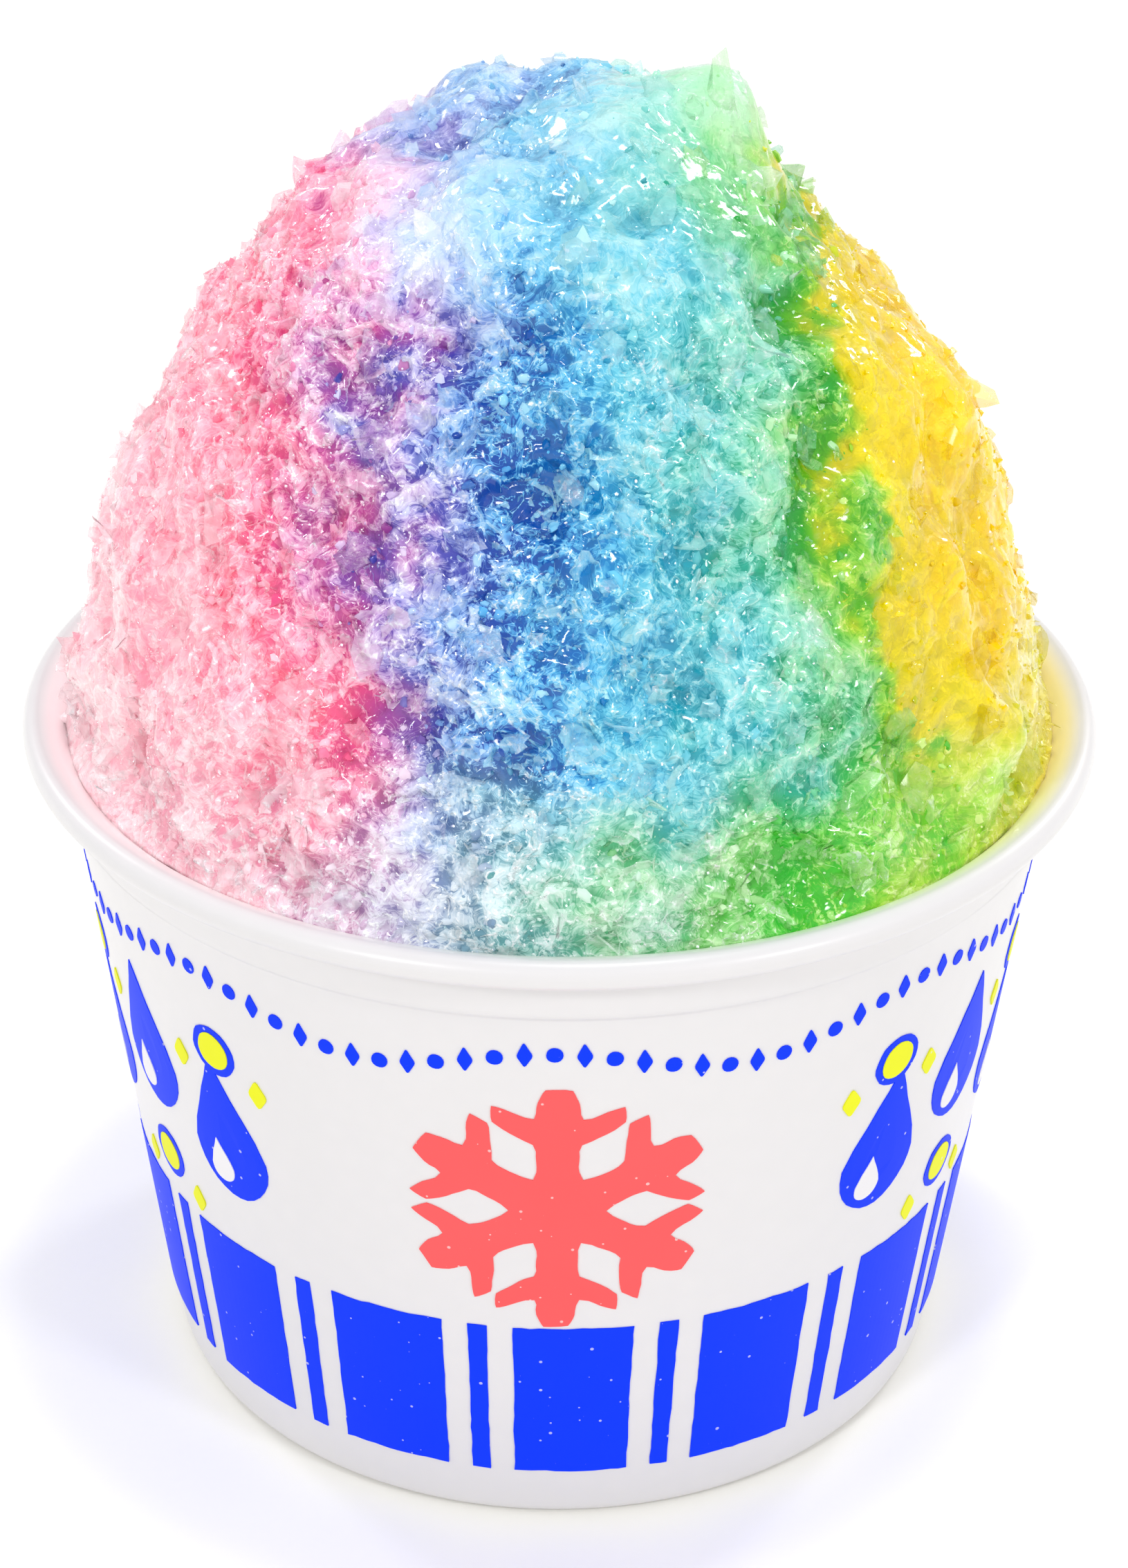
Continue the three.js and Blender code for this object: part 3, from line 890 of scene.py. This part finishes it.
# Each syrup: where its stripe lies from left to right, then its colour on drained, wet and soaked ice.
SYRUPS = [
    (-48, "#FDE2E8", "#FBCAD4", "#F8A0B4"),
    (-40, "#FDD8E1", "#FCB8C6", "#F98AA4"),
    (-31, "#FDCCDA", "#FDA4B9", "#F86788"),
    (-24, "#FDC2D6", "#FC90B0", "#DC4480"),
    (-19, "#F4C8E2", "#E096C4", "#AE3C90"),
    (-14.5, "#D4CEF0", "#A49AD8", "#4C48AC"),
    (-10, "#BAD6F6", "#78A8E6", "#103C9E"),
    (-4, "#A6DAF4", "#58B2EA", "#024AA4"),
    (5, "#A2DEF0", "#5EC0E8", "#0880C0"),
    (16.5, "#AAE4E4", "#70CCD0", "#149CA4"),
    (22, "#B0E8D0", "#80D2B8", "#20A076"),
    (26.5, "#B2E4AE", "#7ED08C", "#1E9C40"),
    (29.5, "#B8E088", "#78CA54", "#229A12"),
    (31.5, "#D2E45C", "#9ED028", "#5CAE06"),
    (33.2, "#EEDE14", "#E4D200", "#C6BC00"),
    (40, "#F3DA10", "#EED000", "#DEC000"),
    (47, "#FADF30", "#F6D204", "#EEB800"),
]
# What the syrups make of each other where they have run together at the foot of the heap.
MIXED = [
    (-46, "#FCE6EA", "#FBD0D8", "#F7B4C1"),
    (-30, "#FBDCE4", "#F8C4D0", "#EC8CA8"),
    (-20, "#ECE0EF", "#DBB4D0", "#A070A0"),
    (-12, "#DCE2F2", "#B8BEDC", "#7880B4"),
    (-5, "#D4EAEC", "#A6D0D2", "#5C9AA2"),
    (4, "#D2EDE0", "#A4D6BC", "#5AAE86"),
    (13, "#CCEDBC", "#98D68A", "#50B43A"),
    (21, "#AAE894", "#5ECC48", "#08AE12"),
    (30, "#CCEFA0", "#98DA54", "#48BE2A"),
    (36, "#E6F29C", "#C2DC50", "#94CA14"),
    (44, "#F6EC84", "#EAD940", "#D2CA08"),
]
# the ramps run this far to the left and to the right
SPREAD = 50
# Places that soaked up more syrup, and with a minus less: azimuth, height, width, strength. Deeper in
# crevices and small pockets, as pooled syrup and as painted shade.
POOLS_AND_SHADE = [(azimuth, z, width, 0.6 * depth) for azimuth, z, width, depth in CREVICES]
POOLS_AND_SHADE += [
    (-3, 97, 5, 0.8), (28, 84, 4, 2), (44, 96, 4, 2), (95, 135, 7, -3), (-70, 134, 8, -2),
    (-60, 87, 10, 1.2), (0, 117, 2.4, 4), (-4, 111, 2, 5), (-10, 119, 1.8, 4), (-6, 90, 2, 3.5),
    (12, 84, 1.8, 3), (-10, 137, 6, -0.8), (-40, 131, 7, -3.5), (-24, 127, 4.5, -3),
    (-60, 79, 7, -1), (-14, 79, 6, -1.2), (-28, 101, 2.6, 4.5), (-24, 92, 2.4, 4.5),
    (-20, 86, 2.4, 3.5), (-31, 115, 2.2, 4), (-25, 106, 2, 4), (-13, 108, 2, 3.5), (-9, 101, 2, 3.5),
    (2, 106, 1.8, 3), (5, 120, 2.4, 2.5), (40, 101, 2, 3), (34, 92, 2.2, 3), (47, 118, 2, 3),
]
# how the border between the pink and the blue sways on the way up
SWAY_Z = (76, 86, 96, 106, 116, 126, 134)
SWAY = (0, -2.5, -5.0, 1.5, 2.0, -1.0, 1.5)
# how much closer together the stripes on the right run, at each height
WIDEN_Z = (76, 86, 92, 108, 116, 127, 135)
WIDEN = (0.92, 0.92, 1.02, 1.16, 1.32, 1.28, 1.8)
# How ragged the ice is at each place across the stripes, where 0 is far left and 1 far right, and by height.
LIVELY_ACROSS = (0.04, 0.24, 0.34, 0.46, 0.56, 0.76, 0.84)
LIVELY = (0.62, 1.05, 1.25, 1.3, 0.95, 0.85, 0.55)
LIVELY_Z = (76, 84, 122, 132)
LIVELY_BY_HEIGHT = (1.2, 1.0, 1.0, 0.45)


def heard(points, size, seed):
    """A smooth chance number from -1 to 1 at each point, changing over about a size."""
    shift = Vector((seed * 4.3, seed * 6.1, seed * 8.9))
    return np.array([noise.noise(Vector(p) / size + shift) for p in points])


def syrup_at(points, soak, drift=0.0):
    """For each point: its place across the stripes, how far it is soaked, and how far syrups mix there."""
    x, z = points[:, 0], points[:, 2]
    stripe = x * np.where(x > 0, np.interp(z, WIDEN_Z, WIDEN), 1) + drift
    for reach, size, seed in ((6.0, 13, 1), (3.5, 5, 2), (2.0, 2, 3)):
        stripe = stripe + reach * heard(points, size, seed)
    stripe = stripe + np.interp(z, SWAY_Z, SWAY) * np.clip(-x / 8, 0, 1)
    # the syrups run together at the foot, below about 90, and a little at the top, above about 126
    level = z + 5.0 * heard(points, 9, 4)
    mixed = np.clip((90 - level) / 9, 0, 1) + 0.25 * np.clip((level - 126) / 8, 0, 1)
    soak = soak + 0.25 * heard(points, 8, 5) + 0.3 * heard(points, 3.4, 6)
    # painted light: the pink is paler at its foot, to lift the shade beside the lip; the top is a little
    # paler, and the yellow is soaked
    soak = soak - 0.35 * np.clip((78 - z) / 6, 0, 1) * np.clip(-stripe / 20, 0, 1)
    soak = soak - 0.06 * np.clip((z - 122) / 10, 0, 1) + 0.1 * np.clip((stripe - 22) / 8, 0, 1)
    # deeper in crevices and pockets: pooled syrup and painted shade
    for azimuth, height, width, strength in POOLS_AND_SHADE:
        centre, _ = heap_surface(climb_at(height), math.radians(azimuth))
        away = ((points - centre) ** 2).sum(1) / (width * width)
        soak = soak + np.where(away < 6, 0.13 * strength * np.exp(-away), 0)
    return np.stack([np.clip((stripe + SPREAD) / (2 * SPREAD), 0, 1), soak, mixed], -1)


def liveliness(points, syrup):
    """How ragged the ice is: most under the blue, less where it melted in the yellow and at the top."""
    across = np.interp(syrup[:, 0], LIVELY_ACROSS, LIVELY)
    return across * np.interp(points[:, 2], LIVELY_Z, LIVELY_BY_HEIGHT)


def store_syrup(mesh, values, lively):
    """Keeps the syrup's three numbers and the liveliness at each vertex, for the materials to read."""
    attribute = mesh.attributes.new("syrup", "FLOAT_VECTOR", "POINT")
    attribute.data.foreach_set("vector", np.ascontiguousarray(values, np.float32).ravel())
    attribute = mesh.attributes.new("lively", "FLOAT", "POINT")
    attribute.data.foreach_set("value", np.ascontiguousarray(lively, np.float32))


def stripe_ramp(tree, across, stops, column):
    """A colour ramp over the heap's width, one stop for each syrup."""
    node = add(tree, "ValToRGB", {"Fac": across}, None)
    elements = node.color_ramp.elements
    elements.remove(elements[-1])
    elements[0].position = 0
    elements[0].color = linear(stops[0][column])
    for stop in stops:
        element = elements.new((stop[0] + SPREAD) / (2 * SPREAD))
        element.color = linear(stop[column])
    return node.outputs["Color"]


def syrup_colour(tree, syrup, soak):
    """The colour of ice at its place in the stripes; soak runs from 0, drained, to 1, soaked."""
    levels = []
    for column in (1, 2, 3):
        clear = stripe_ramp(tree, syrup.outputs["X"], SYRUPS, column)
        mixed = stripe_ramp(tree, syrup.outputs["X"], MIXED, column)
        levels.append(add(tree, "Mix", {"Factor": syrup.outputs["Z"], 6: clear, 7: mixed}, 2,
                          data_type="RGBA"))
    colour, bare_ice = levels[0], linear("#FAFCFF")
    for low, high, other in ((0.0, 0.5, levels[1]), (0.5, 1.0, levels[2]), (-0.3, -0.9, bare_ice)):
        share = add(tree, "MapRange", {"Value": soak, "From Min": low, "From Max": high})
        colour = add(tree, "Mix", {"Factor": share, 6: colour, 7: other}, 2, data_type="RGBA")
    return colour


def stirred_place(tree, place):
    """Object coordinates pushed about a little, so that no pattern on them runs straight."""
    stir_size, stir = 2.381, 1.5
    cloud = add(tree, "TexNoise", {"Vector": place, "Scale": 1000 / stir_size, "Detail": 1.0}, "Color")
    push = add(tree, "VectorMath", {0: cloud, "Scale": stir * MM}, operation="SCALE")
    return add(tree, "VectorMath", {0: place, 1: push}, operation="ADD")


def melt_marks(tree, place):
    """Winding marks where flakes melted together: drained along a crest, soaked in the seam between two."""
    size, gap, width, strength = 3.6, 0.08, 0.011, 0.5
    flow = add(tree, "TexNoise", {"Vector": place, "Scale": 1000 / size, "Detail": 2.0, "Roughness": 0.55,
                                  "Distortion": 2.0})
    fold = add(tree, "Math", {0: flow, 1: gap}, operation="PINGPONG")
    crest = add(tree, "MapRange", {"Value": fold, "From Min": 0.0, "From Max": width, "To Min": -strength,
                                   "To Max": 0.0})
    seam = add(tree, "MapRange", {"Value": fold, "From Min": gap - 2 * width, "From Max": gap,
                                  "To Min": 0.0, "To Max": 0.7 * strength})
    return add(tree, "Math", {0: crest, 1: seam}, operation="ADD")


def vein_marks(tree, veins, crest):
    """The soak that veins change: high ones are paler, as drained syrup and as painted light, and the very
    tops are pale threads, painted highlights.
    """
    bias, thread = -0.16, 0.6
    drained = add(tree, "MapRange", {"Value": veins, "From Min": 0.6, "From Max": 1.9,
                                     "To Min": bias + 0.5 * crest, "To Max": bias - crest}, clamp=False)
    threads = add(tree, "MapRange", {"Value": veins, "From Min": 1.55, "From Max": 1.7, "To Min": 0.0,
                                     "To Max": -thread})
    return add(tree, "Math", {0: drained, 1: threads}, operation="ADD")


def water_film(tree, stirred, cell, chance, veins, granule, vein_height):
    """The film's normal: each granule tilts by chance and bulges, over the veins, half as strong as drawn."""
    tilt, bulge, softness = 1.25, 0.3, 0.5
    away = add(tree, "VectorMath", {0: stirred, 1: cell.outputs["Position"]}, operation="SUBTRACT")
    slope = add(tree, "VectorMath", {0: away, 1: chance}, "Value", operation="DOT_PRODUCT")
    height = 0.0
    for part, share in ((veins, vein_height * MM), (cell.outputs["Distance"], -bulge * granule * MM),
                        (slope, tilt)):
        height = add(tree, "Math", {0: part, 1: share, 2: height}, operation="MULTIPLY_ADD")
    film = add(tree, "Bump", {"Strength": 1.0, "Distance": 1.0, "Height": height})
    plain = add(tree, "NewGeometry", {}, "Normal")
    return add(tree, "Mix", {"Factor": softness, 4: plain, 5: film}, 1, data_type="VECTOR")


def edge_on(tree, glassy):
    """Clear ice seen edge-on shows more of the syrup, and face-on less."""
    turned = add(tree, "LayerWeight", {"Blend": 0.5}, "Facing")
    return add(tree, "MapRange", {"Value": turned, "From Min": 0.25, "From Max": 0.85,
                                  "To Min": -0.3 * glassy, "To Max": glassy})


def ice_material(name, granule=1.4, crest=0.28, vein_height=0.3, alpha=1.0, glassy=0.0):
    """Shaved ice wet with syrup: pale-rimmed granules, melted crests and seams, and a film that glints.

    Shaved ice has grains of half a millimetre to two; they are drawn at the coarse end, to show.
    """
    vein, rim, tint = 2.2, 0.15, 0.44
    material, tree, shader = new_material(name)
    place = add(tree, "TexCoord", {}, "Object")
    given = add(tree, "Attribute", {}, "Vector", attribute_name="syrup")
    lively = add(tree, "Attribute", {}, "Fac", attribute_name="lively")
    syrup = add(tree, "SeparateXYZ", {"Vector": given}, None)
    stirred = stirred_place(tree, place)
    veins = add(tree, "TexNoise", {"Vector": stirred, "Scale": 1000 / vein, "Detail": 3.0, "Roughness": 0.7,
                                   "Lacunarity": 2.1, "Offset": 0.9, "Gain": 1.6},
                noise_type="RIDGED_MULTIFRACTAL")
    cell = add(tree, "TexVoronoi", {"Vector": stirred, "Scale": 1000 / granule}, None)
    chance = add(tree, "VectorMath", {0: cell.outputs["Color"], 1: (0.5, 0.5, 0.5)}, operation="SUBTRACT")
    shade = add(tree, "SeparateXYZ", {"Vector": chance})
    pale_rim = add(tree, "MapRange", {"Value": cell.outputs["Distance"], "From Min": 0.35, "From Max": 0.7,
                                      "To Min": 0.3 * rim, "To Max": -rim})
    marks = add(tree, "Math", {0: shade, 1: tint, 2: pale_rim}, operation="MULTIPLY_ADD")
    for more in (vein_marks(tree, veins, crest), melt_marks(tree, place)):
        marks = add(tree, "Math", {0: marks, 1: more}, operation="ADD")
    soak = add(tree, "Math", {0: marks, 1: lively, 2: syrup.outputs["Y"]}, operation="MULTIPLY_ADD")
    if glassy:
        soak = add(tree, "Math", {0: soak, 1: edge_on(tree, glassy)}, operation="ADD")
    film = water_film(tree, stirred, cell, chance, veins, granule, vein_height)
    fill(shader, {"Base Color": syrup_colour(tree, syrup, soak), "Normal": film, "Alpha": alpha,
                  "Roughness": 0.3, "IOR": 1.31, "Specular IOR Level": 0.2, "Coat Weight": 0.95,
                  "Coat Roughness": 0.1})
    return material


def grain_material(name):
    """Loose crumbs of ice: clean faces, wet enough to glint, each a little mottled with syrup."""
    material, tree, shader = new_material(name)
    mottle_size, mottle = 1.111, 0.5
    place = add(tree, "TexCoord", {}, "Object")
    given = add(tree, "Attribute", {}, "Vector", attribute_name="syrup")
    syrup = add(tree, "SeparateXYZ", {"Vector": given}, None)
    cloud = add(tree, "TexNoise", {"Vector": place, "Scale": 1000 / mottle_size, "Detail": 1.0})
    cloud = add(tree, "Math", {0: cloud, 1: mottle, 2: -0.5 * mottle}, operation="MULTIPLY_ADD")
    soak = add(tree, "Math", {0: syrup.outputs["Y"], 1: cloud}, operation="ADD")
    fill(shader, {"Base Color": syrup_colour(tree, syrup, soak), "Roughness": 0.2, "IOR": 1.31,
                  "Specular IOR Level": 0.3, "Coat Weight": 0.8, "Coat Roughness": 0.03})
    return material


def make_ice():
    """The heap: two skins that cross each other, with loose ice of every size laid over them."""
    core = make_heap_shell("ice_core", core_relief, 0.02)
    place_piece(core, ice_material("soaked_ice"), "shaved_ice")
    crust = make_heap_shell("ice_crust", crust_relief, -0.05)
    place_piece(crust, ice_material("drained_ice"), "shaved_ice")
    tree = BVHTree.FromObject(core, bpy.context.evaluated_depsgraph_get())
    flakes = ice_material("shaved_flakes", crest=0.3, vein_height=0.1, alpha=0.45)
    grains = grain_material("ice_grains")
    clear = ice_material("clear_ice", granule=2.4, vein_height=0.1, alpha=0.4, glassy=0.4)
    curls = [shaving((7, 3), *form, 0.03, 11 + i) for i, form in enumerate(CURLS)]
    shreds = [shaving((6, 3), *form, 0.035, 31 + i) for i, form in enumerate(SHREDS)]
    slivers = [shaving((4, 2), *form, 0.06, 51 + i) for i, form in enumerate(SLIVERS)]
    pebbles = [pebble(7, 5, (1, 0.75, 0.55), 0.17, 71 + i) for i in range(7)]
    lumps = [pebble(6, 5, (1, 0.8, 0.5), 0.24, 81 + i) for i in range(8)]
    crumbs = [splinter(0.14, 91 + i) for i in range(5)]
    wisps = [wisp(101 + i) for i in range(8)]
    scatter("ice_curls", curls, 260, (4.0, 8.0), flakes, tree, 100, lean=0.2, lift=-0.02, comb=0.08,
            soak=(0.1, 0.5), rim=0.5, shy=3.5)
    scatter("ice_shreds", shreds, 1000, (1.8, 4.2), flakes, tree, 200, lean=0.3,
            soak=(0.1, 0.6), rim=0.45, shy=3.5)
    scatter("ice_slivers", slivers, 2400, (0.9, 2.0), flakes, tree, 300, lean=0.35, lift=-0.05,
            soak=(0.0, 0.6), rim=0.4, shy=3.5)
    scatter("ice_pebbles", pebbles, 2200, (0.7, 1.7), grains, tree, 400, lean=0.8, lift=-0.1,
            soak=(-0.3, 1.0), shy=1)
    scatter("ice_crumbs", crumbs, 8000, (0.22, 0.5), grains, tree, 500, lean=0.9,
            soak=(-0.3, 0.8), smooth_angle=10, shy=1.5)
    scatter("ice_wisps", wisps, 350, (2.0, 4.0), grains, tree, 600, lean=0.15, soak=(0.0, 0.4), shy=2)
    scatter("ice_lumps", lumps, 260, (2.5, 5.0), clear, tree, 700, lean=0.4, soak=(0.0, 0.5),
            smooth_angle=28)
    scatter("ice_chips", lumps, 420, (1.6, 4.0), clear, tree, 800, lean=0.8, lift=0.12,
            soak=(-0.5, 0.3), smooth_angle=28, above=126, stray=4)
    # painted highlights: the smallest crumbs, nearly bare white, scattered to show as glints
    scatter("ice_glints", crumbs, 3000, (0.2, 0.4), grains, tree, 900, lean=1.2, lift=0.2,
            soak=(-1.2, -0.5), smooth_angle=10, shy=3)


# ---------------------------------------------------------------- floor and light

def paper_material():
    """Seamless white paper: matt, with the faintest tooth, drawn coarse enough to show."""
    material, tree, shader = new_material("white_paper")
    tooth_size = 1.111
    place = add(tree, "TexCoord", {}, "Object")
    tooth = add(tree, "TexNoise", {"Vector": place, "Scale": 1000 / tooth_size, "Detail": 2.0})
    colour = add(tree, "Mix", {"Factor": tooth, 6: linear("#FBFAF5"), 7: linear("#FDFCF7")}, 2,
                 data_type="RGBA")
    fill(shader, {"Base Color": colour, "Roughness": 0.9})
    return material


def make_stage():
    """A white floor in a white room, with five small soft lamps: places in metres, powers in watts."""
    floor_size, lamp_size, room_light, aim = 6, 0.2, 0.8, Vector((0, 0, 0.07))
    floor = start_shape("plane", size=floor_size)
    floor.name = "floor"
    floor.data.materials.append(paper_material())
    world = bpy.data.worlds.new("white_room")
    bpy.context.scene.world = world
    world.use_nodes = True
    sky = world.node_tree.nodes["Background"]
    sky.inputs["Color"].default_value = (1, 1, 1, 1)
    sky.inputs["Strength"].default_value = room_light
    for name, place, power in (
            ("front_left", (-0.6, -0.9, 0.8), 3.5),
            ("front_right", (0.8, -0.7, 0.7), 2.6),
            ("top", (0.1, 0.0, 1.3), 3.4),
            ("back_left", (-0.8, 0.7, 0.8), 2.3),
            ("back_right", (0.7, 0.8, 0.7), 2.5)):
        data = bpy.data.lights.new(name, "AREA")
        data.shape, data.size, data.energy = "DISK", lamp_size, power
        lamp = bpy.data.objects.new(name, data)
        bpy.context.scene.collection.objects.link(lamp)
        lamp.location = place
        lamp.rotation_euler = (aim - Vector(place)).to_track_quat("-Z", "Y").to_euler()
    bpy.context.scene.view_settings.view_transform = "Standard"


make_camera()
make_cup()
make_print()
make_ice()
make_stage()
